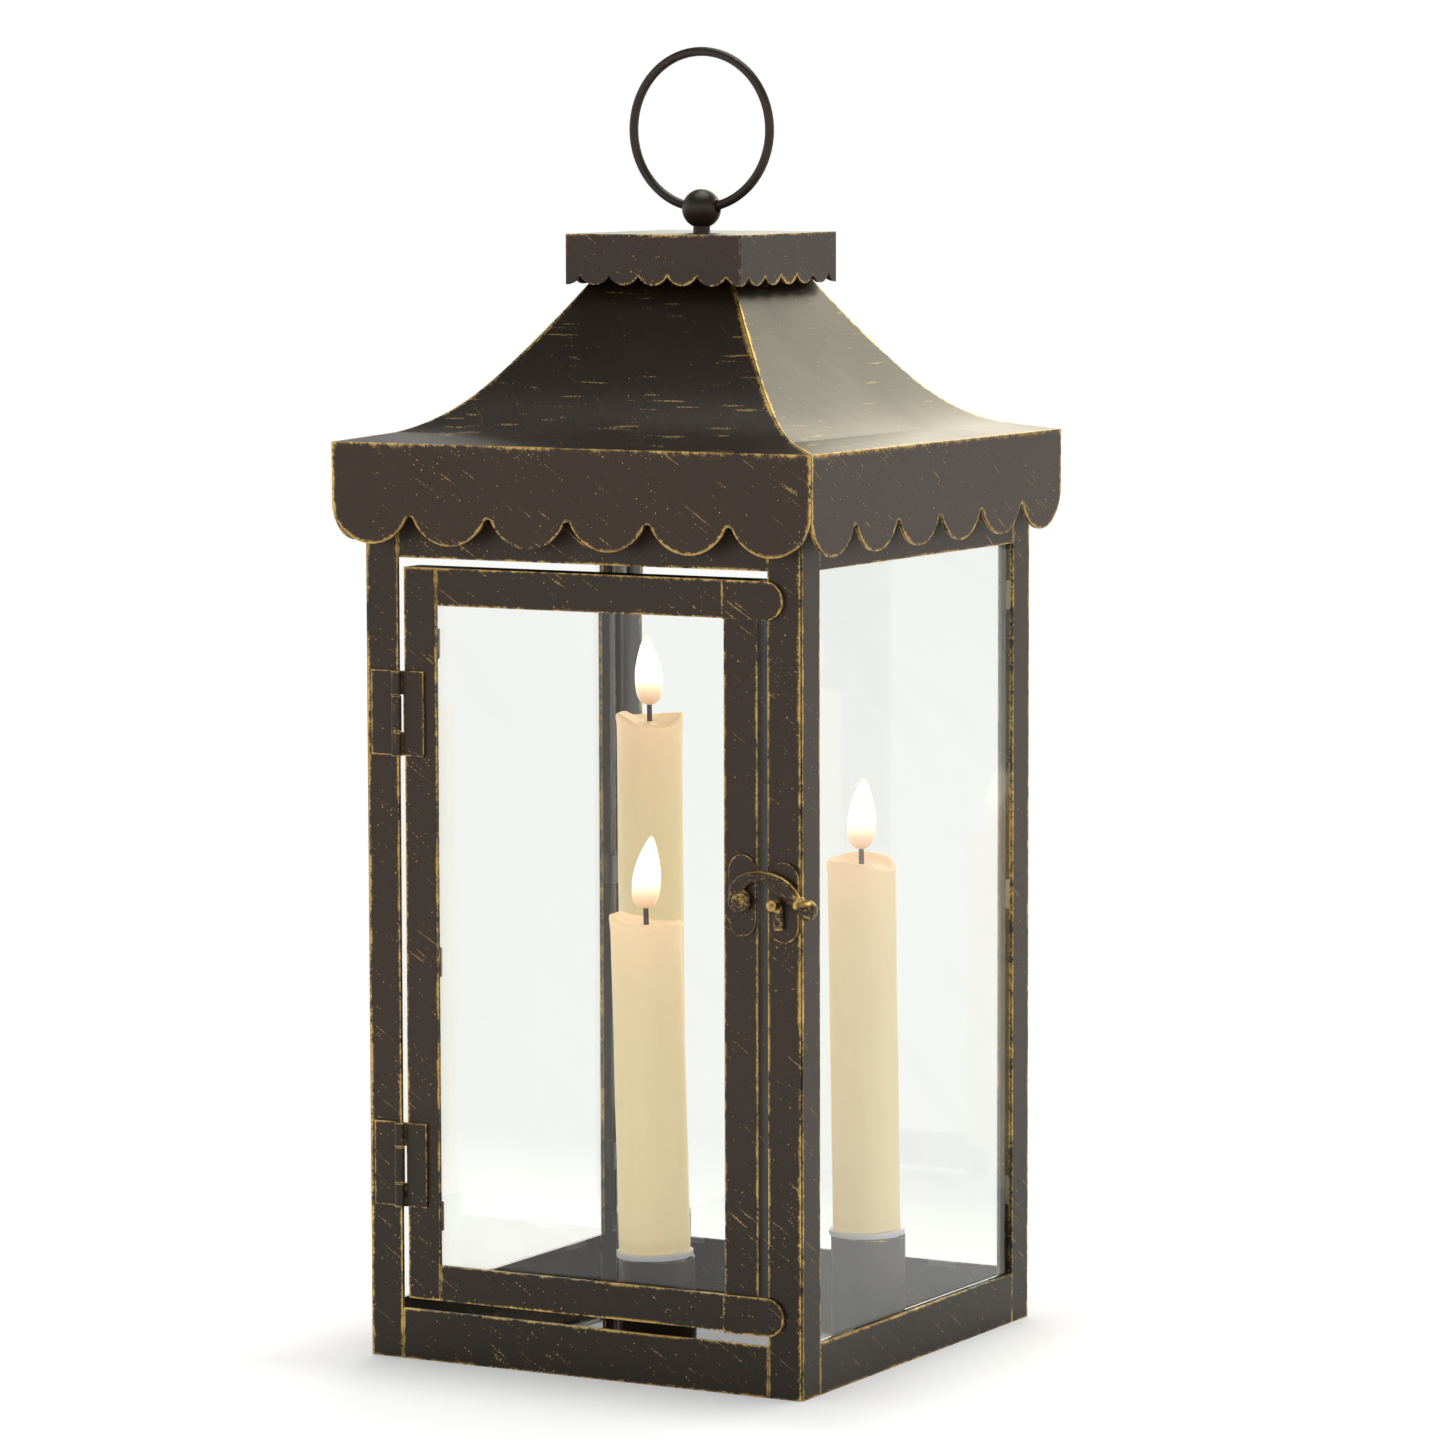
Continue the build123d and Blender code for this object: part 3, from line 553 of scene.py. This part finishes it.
FORGED_BRONZE = aged_paint(
    "forged bronze hook", DARK_BRONZE, 0.27, reach=2.8, cover=-0.1, marks=0.95, length=3.0, top_highlight=0.9
)


def paint_frame():
    """Gives every CAD node the finish its record slot names."""
    slot_of = {part["node"]: part["material_slot"] for part in frame["record"]["subparts"]}
    for node, piece in frame["nodes"].items():
        piece.data.materials.clear()
        piece.data.materials.append(FINISHES[slot_of[node]])


# ---- pieces shaped here -------------------------------------------------------------
def mesh_piece(name, points, faces, finish, smooth=True):
    """A new object from points and faces, in one finish."""
    mesh = bpy.data.meshes.new(name)
    mesh.from_pydata(points, [], faces)
    mesh.update()
    mesh.materials.append(finish)
    mesh.polygons.foreach_set("use_smooth", [smooth] * len(mesh.polygons))
    piece = bpy.data.objects.new(name, mesh)
    bpy.context.scene.collection.objects.link(piece)
    return piece


def rings_to_faces(rings, around):
    """Quads that join rings of points, each ring closed on itself."""
    faces = []
    for row in range(rings - 1):
        for k in range(around):
            after = (k + 1) % around
            here, beside = row * around + k, row * around + after
            faces.append((here, beside, beside + around, here + around))
    return faces


def wave(angle, depth, second, phase, seed):
    """Height of a melted rim round the candle: one slow dip, a shorter wave and small bumps."""
    slow = 0.5 * depth * (math.cos(angle - phase) - 1.0)
    short = 0.5 * second * (math.sin(2.0 * angle + seed) - 1.0)
    bumps = 0.7 * noise.noise(Vector((2.2 * math.cos(angle), 2.2 * math.sin(angle), seed)))
    return slow + short + bumps


def candle_place(name):
    """Foot of a candle on its cup floor and the turn that leans it."""
    low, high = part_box(f"cup_{name}")
    centre = (low + high) / 2
    foot = Vector((centre.x, centre.y, CUP_FLOOR * MM))
    return foot, Matrix.Rotation(-math.radians(CANDLES[name]["lean"]), 3, LEAN_AXIS)


def make_wax(name):
    """Wax shell with a softly melted rim and a hollow round the wick."""
    facts = CANDLES[name]
    around = 96
    foot, lean = candle_place(name)
    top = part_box(f"{name}_candle_wax")[1].z / MM - CUP_FLOOR - 0.1
    bottom = WAX_FOOT
    radius = facts["radius"]
    bore = WAX_BORE_RADIUS

    wall = [bottom + (top - 5.0 - bottom) * k / 22 for k in range(23)]
    # Each row of the profile: distance from the axis, height, how much of the rim's wave it takes.
    rows = [(bore, bottom + 0.3, 0.0), (radius - 0.5, bottom, 0.0), (radius - 0.1, bottom + 0.25, 0.0)]
    rows += [(radius, z, 0.0) for z in wall[1:]]
    rows += [(radius, top - 3.4, 0.35), (radius, top - 2.2, 0.7), (radius + 0.05, top - 1.2, 0.95)]
    rows += [(radius - 0.1, top - 0.5, 1.0), (radius - 0.5, top - 0.1, 1.0), (radius - 1.0, top, 1.0)]
    rows += [(radius - 1.6, top - 0.2, 1.0), (radius - 2.4, top - 0.9, 0.85), (radius - 3.6, top - 1.7, 0.55)]
    rows += [(5.4, top - 2.5, 0.3), (3.6, top - 3.1, 0.12), (1.9, top - 3.5, 0.0), (0.95, top - 4.6, 0.0)]
    rows += [(0.95, top - 5.4, 0.0), (bore, top - 5.6, 0.0)]

    points = []
    painted_glow = []
    for distance, height, share in rows:
        for k in range(around):
            angle = 2 * math.pi * k / around
            flow = Vector((math.cos(angle), math.sin(angle), 0.0))
            lift = share * wave(angle, *facts["rim"])
            swell = 0.0
            if distance > radius - 0.6 and height > bottom + 1:
                spot = Vector((1.4 * flow.x, 1.4 * flow.y, height / 30.0 + facts["rim"][3]))
                swell = 0.14 * noise.noise(spot) - 0.08
                swell += 0.35 * math.exp(-((top - height - 1.5) / 2.5) ** 2)
            point = flow * (distance + swell) + Vector((0, 0, height + lift))
            points.append(foot + lean @ (point * MM))
            # Share of painted light: the wax glows and warms more towards the top, under the flame.
            under = max(0.0, top - height)
            painted_glow.append(min(1.0, 1.05 * math.exp(-under / 17.0)))
    faces = rings_to_faces(len(rows), around)
    last = (len(rows) - 1) * around
    for k in range(around):
        after = (k + 1) % around
        faces.append((last + k, last + after, after, k))

    piece = mesh_piece(f"{name}_candle_wax_shell", points, faces, FINISHES["ivory_wax"])
    shade = piece.data.attributes.new("painted_glow", "FLOAT", "POINT")
    shade.data.foreach_set("value", painted_glow)
    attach(piece, f"{name}_candle")
    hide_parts(f"{name}_candle_wax")


def make_flame(name):
    """Blown flame lens: a round bulb that draws out to a tip and drifts to one side."""
    facts = CANDLES[name]
    around = 56
    rows = 44
    foot, lean = candle_place(name)
    low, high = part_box(f"{name}_candle_flame")
    base = low.z / MM - CUP_FLOOR
    tall = (high.z - low.z) / MM - 0.15
    # Share of the height, and the radius there in mm.
    outline = [
        (0.0, 0.9), (0.012, 1.7), (0.035, 2.6), (0.08, 3.45), (0.15, 4.0), (0.25, 4.3), (0.38, 4.35),
        (0.50, 4.1), (0.62, 3.5), (0.74, 2.75), (0.84, 2.0), (0.92, 1.25), (0.97, 0.7), (1.0, 0.0),
    ]

    def girth(share):
        for (low_share, low_radius), (high_share, high_radius) in zip(outline, outline[1:]):
            if share <= high_share:
                part = (share - low_share) / (high_share - low_share)
                return low_radius + (high_radius - low_radius) * part
        return 0.0

    points = []
    climb = []
    for row in range(rows):
        share = 0.5 - 0.5 * math.cos(math.pi * row / rows)
        radius = (girth(max(0, share - 0.012)) + girth(share) + girth(min(1, share + 0.012))) / 3
        shift = facts["drift"] * share**1.7 * FLAME_DRIFT
        for k in range(around):
            angle = 2 * math.pi * k / around
            flow = Vector((math.cos(angle), math.sin(angle), 0.0))
            wobble = 1.0 + 0.03 * noise.noise(Vector((flow.x, flow.y, 2.0 * share + facts["drift"])))
            point = flow * radius * wobble + Vector((0, 0, base + tall * share)) + shift
            points.append(foot + lean @ (point * MM))
            climb.append(share)
    tip = Vector((0, 0, base + tall)) + facts["drift"] * FLAME_DRIFT
    points.append(foot + lean @ (tip * MM))
    climb.append(1.0)
    points.append(foot + lean @ (Vector((0, 0, base)) * MM))
    climb.append(0.0)
    faces = rings_to_faces(rows, around)
    last = (rows - 1) * around
    for k in range(around):
        after = (k + 1) % around
        faces.append((last + k, last + after, len(points) - 2))
        faces.append((after, k, len(points) - 1))
    piece = mesh_piece(f"{name}_candle_flame_lens", points, faces, FINISHES["led_flame"])
    shade = piece.data.attributes.new("climb", "FLOAT", "POINT")
    shade.data.foreach_set("value", climb)
    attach(piece, f"{name}_candle")
    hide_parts(f"{name}_candle_flame")


def forge(name, parts, finish, fineness):
    """Fuses overlapping closed parts into one skin and softens it, as hammering would."""
    points = []
    faces = []
    for part_points, part_faces in parts:
        start = len(points)
        points += part_points
        faces += [tuple(start + k for k in face) for face in part_faces]
    rough = mesh_piece(f"{name}_rough", points, faces, finish)
    fuse = rough.modifiers.new("fuse", "REMESH")
    fuse.mode = "VOXEL"
    fuse.voxel_size = fineness
    fuse.use_smooth_shade = True
    soften = rough.modifiers.new("soften", "SMOOTH")
    soften.factor = 0.5
    soften.iterations = 6
    bpy.context.view_layer.update()
    shaped = rough.evaluated_get(bpy.context.evaluated_depsgraph_get())
    mesh = bpy.data.meshes.new_from_object(shaped)
    mesh.name = name
    bpy.data.objects.remove(rough)
    piece = bpy.data.objects.new(name, mesh)
    mesh.materials.clear()
    mesh.materials.append(finish)
    mesh.polygons.foreach_set("use_smooth", [True] * len(mesh.polygons))
    bpy.context.scene.collection.objects.link(piece)
    return piece


def turned(profile, centre, axis, around=40, closed=False):
    """Points and faces of a shape turned about an axis. The profile is (radius, distance along the axis)."""
    turn = Vector((0, 0, 1)).rotation_difference(Vector(axis).normalized()).to_matrix()
    points = []
    for radius, along in profile:
        for k in range(around):
            angle = 2 * math.pi * k / around
            spot = Vector((radius * math.cos(angle), radius * math.sin(angle), along))
            points.append((Vector(centre) + turn @ spot) * MM)
    faces = rings_to_faces(len(profile), around)
    last = (len(profile) - 1) * around
    if closed:
        for k in range(around):
            after = (k + 1) % around
            faces.append((last + k, last + after, after, k))
    else:
        faces.append(tuple(reversed(range(around))))
        faces.append(tuple(range(last, last + around)))
    return points, faces


def make_hook():
    """Forged latch hook: an eye on the rivet, an arched arm that swells over the peg, and a neck."""
    # Points along the arm: x, z, half height and half thickness of the arm there.
    arm = [
        (54.2, 149.3, 2.0, 1.0), (54.0, 150.7, 2.2, 1.05), (54.7, 152.2, 2.2, 1.1),
        (56.1, 153.7, 2.1, 1.15), (59.0, 155.3, 1.8, 1.15), (62.6, 155.9, 1.65, 1.15),
        (65.8, 155.2, 2.1, 1.2), (68.4, 153.8, 2.75, 1.25), (70.7, 152.2, 3.0, 1.25),
        (72.7, 150.7, 2.6, 1.2), (74.4, 149.4, 2.0, 1.15), (76.2, 148.2, 1.55, 1.2),
        (77.9, 147.4, 1.35, 1.2),
    ]
    neck_starts = 8
    around = 20
    points = []
    for k, (x, z, high, thick) in enumerate(arm):
        before = arm[max(0, k - 1)]
        after = arm[min(len(arm) - 1, k + 1)]
        run = Vector((after[0] - before[0], 0.0, after[1] - before[1])).normalized()
        across = Vector((-run.z, 0.0, run.x))
        forward = NECK_LIFT * max(0.0, (k - neck_starts) / 4)
        for corner in range(around):
            angle = 2 * math.pi * corner / around
            # A power under one squares the section up a little, as hammering does.
            wide, deep = math.cos(angle), math.sin(angle)
            wide = math.copysign(abs(wide) ** 0.75, wide)
            deep = math.copysign(abs(deep) ** 0.75, deep)
            spot = Vector((x, HOOK_DEPTH + forward, z)) + across * high * wide + Vector((0, thick * deep, 0))
            points.append(spot * MM)
    faces = rings_to_faces(len(arm), around)
    last = (len(arm) - 1) * around
    faces.append(tuple(reversed(range(around))))
    faces.append(tuple(range(last, last + around)))

    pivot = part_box("latch_rivet")
    pivot_x = (pivot[0].x + pivot[1].x) / 2 / MM
    pivot_z = (pivot[0].z + pivot[1].z) / 2 / MM
    eye = [
        (1.25, -0.9), (2.0, -1.15), (3.2, -1.05), (3.75, -0.5),
        (3.75, 0.5), (3.2, 1.0), (2.0, 1.1), (1.25, 0.9),
    ]
    ring = turned(eye, (pivot_x, HOOK_DEPTH, pivot_z), (0, 1, 0), closed=True)
    piece = forge("latch_hook_forged", [(points, faces), ring], FORGED_BRONZE, HOOK_FINENESS)
    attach(piece, "latch")
    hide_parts("latch_hook")


def make_knob():
    """Turned pull at the end of the hook: a collar, a short neck and a ball."""
    low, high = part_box("latch_knob")
    ball = Vector(((low.x + high.x) / 2, (low.y + high.y) / 2, (low.z + high.z) / 2)) / MM
    # Collar and neck behind the ball: radius, distance from the ball's centre.
    profile = [(0.9, -5.2), (1.5, -5.0), (2.1, -4.4), (2.4, -4.0), (2.25, -3.6), (1.8, -3.2), (1.7, -2.9)]
    for k in range(3, 15):
        angle = math.pi * (1 - k / 14)
        profile.append((max(0.05, KNOB_RADIUS * math.sin(angle)), KNOB_RADIUS * math.cos(angle)))
    stem = turned(profile, ball, KNOB_DIRECTION)
    piece = forge("latch_knob_turned", [stem], FINISHES["rubbed_gold_fittings"], KNOB_FINENESS)
    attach(piece, "latch")
    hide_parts("latch_knob")


# ---- studio -------------------------------------------------------------------------
WALL_BRIGHTNESS = 1.02
TABLE_HALF_WIDTH = 14.0
AIM = (0.0, 0.0, 0.3)


def make_camera():
    """Long lens, a little above the table and round towards the latch side."""
    azimuth = math.radians(CAMERA_AZIMUTH)
    elevation = math.radians(CAMERA_ELEVATION)
    roll = math.radians(CAMERA_ROLL)
    reach = math.cos(elevation)
    back = Vector((math.sin(azimuth) * reach, -math.cos(azimuth) * reach, math.sin(elevation)))
    level = Vector((math.cos(azimuth), math.sin(azimuth), 0.0))
    upright = back.cross(level)
    across = math.cos(roll) * level + math.sin(roll) * upright
    up = math.cos(roll) * upright - math.sin(roll) * level
    data = bpy.data.cameras.new("product camera")
    data.lens = CAMERA_LENS
    data.sensor_width = 36.0
    data.clip_start, data.clip_end = 0.1, 60.0
    camera = bpy.data.objects.new("product camera", data)
    turn = Matrix((across, up, back)).transposed()
    spot = level * AIM_ACROSS + Vector((0, 0, AIM_HEIGHT)) + back * CAMERA_DISTANCE
    camera.matrix_world = Matrix.Translation(spot) @ turn.to_4x4()
    bpy.context.scene.collection.objects.link(camera)
    bpy.context.scene.camera = camera


def straight_view(net):
    """1 where a surface is looked at straight or through glass, 0 in light and mirror paths."""
    path = net.node("ShaderNodeLightPath").outputs
    return net.sums("MAXIMUM", path["Is Camera Ray"], path["Is Transmission Ray"])


def make_table():
    """Wide pale table. Seen straight, it gives light of its own, weaker close to the lantern as a painted
    shadow round the base, and brightens with distance until it is as white as the walls.
    """
    material, net, output = new_material("pale table")
    place = net.node("ShaderNodeTexCoord").outputs["Object"]
    tone = net.grain(place, 3.0, 2.0)
    shader = net.node("ShaderNodeBsdfPrincipled")
    net.feed(shader.inputs["Base Color"], net.blend(tone, (0.88, 0.88, 0.88), (0.9, 0.9, 0.9)))
    shader.inputs["Roughness"].default_value = 0.8
    shader.inputs["Specular IOR Level"].default_value = 0.0
    parts = net.apart(place)
    away = net.sums("MAXIMUM", net.sums("ABSOLUTE", parts[0]), net.sums("ABSOLUTE", parts[1]))
    # Weaker light of its own close to the lantern paints a shadow round the base, deepening the real one.
    near = net.sums("MULTIPLY_ADD", net.step(away, 0.08, 0.13), 0.17, 0.20)
    far = net.step(away, 0.11, 0.32)
    straight = straight_view(net)
    lit = net.node("ShaderNodeEmission", {"Strength": net.sums("MULTIPLY", near, straight)})
    both = net.node("ShaderNodeAddShader")
    net.feed(both.inputs[0], shader.outputs[0])
    net.feed(both.inputs[1], lit.outputs[0])
    sweep = net.node("ShaderNodeEmission", {"Strength": WALL_BRIGHTNESS})
    whole = net.node("ShaderNodeMixShader", {"Fac": net.sums("MULTIPLY", far, straight)})
    net.feed(whole.inputs[1], both.outputs[0])
    net.feed(whole.inputs[2], sweep.outputs[0])
    net.feed(output.inputs["Surface"], whole.outputs[0])
    half = TABLE_HALF_WIDTH
    corners = [(-half, -half, 0), (half, -half, 0), (half, half, 0), (-half, half, 0)]
    table = mesh_piece("table", corners, [(0, 1, 2, 3)], material, smooth=False)


def make_surroundings():
    """White studio walls, a dark ceiling and a bright panel straight overhead."""
    world = bpy.data.worlds.new("white studio")
    bpy.context.scene.world = world
    world.use_nodes = True
    world.node_tree.nodes.clear()
    net = Net(world.node_tree)
    direction = net.node("ShaderNodeTexCoord").outputs["Generated"]
    up = net.apart(direction)[2]
    ramp = net.node("ShaderNodeValToRGB", {"Fac": up})
    stops = ramp.color_ramp.elements
    stops[0].position, stops[0].color = 0.0, (1.0, 1.0, 1.0, 1.0)
    stops[1].position, stops[1].color = 1.0, (0.30, 0.30, 0.31, 1.0)
    for position, value in ((0.22, 1.0), (0.45, 0.66), (0.62, 0.08), (0.88, 0.07), (0.96, 1.6)):
        stops.new(position).color = (value, value, value, 1.0)
    background = net.node("ShaderNodeBackground", {"Color": ramp.outputs["Color"], "Strength": 1.06})
    wall = net.node("ShaderNodeBackground", {"Color": (1.0, 1.0, 1.0, 1.0), "Strength": WALL_BRIGHTNESS})
    seen = net.node("ShaderNodeMixShader")
    net.feed(seen.inputs[0], straight_view(net))
    net.feed(seen.inputs[1], background.outputs[0])
    net.feed(seen.inputs[2], wall.outputs[0])
    output = net.node("ShaderNodeOutputWorld")
    net.feed(output.inputs["Surface"], seen.outputs[0])


def soft_lamp(name, spot, aim, width, height, radiance, colour=(1.0, 1.0, 1.0)):
    """Square-cornered softbox whose brightness does not change with its size."""
    data = bpy.data.lights.new(name, "AREA")
    data.shape = "RECTANGLE"
    data.size, data.size_y = width, height
    data.energy = radiance * math.pi * width * height
    data.color = colour
    lamp = bpy.data.objects.new(name, data)
    lamp.location = spot
    lamp.rotation_mode = "QUATERNION"
    lamp.rotation_quaternion = (Vector(aim) - Vector(spot)).to_track_quat("-Z", "Y")
    bpy.context.scene.collection.objects.link(lamp)


make_camera()
make_table()
make_surroundings()
soft_lamp("overhead softbox", (0.0, 0.4, 2.4), AIM, 1.6, 1.6, 3.4)
soft_lamp("back softbox", (-0.3, 2.9, 1.5), AIM, 2.8, 1.2, 2.9, (1.0, 0.93, 0.68))
bpy.context.scene.view_settings.view_transform = "Standard"
bpy.context.scene.view_settings.look = "None"

paint_frame()
make_hook()
make_knob()
for candle in CANDLES:
    make_wax(candle)
    make_flame(candle)
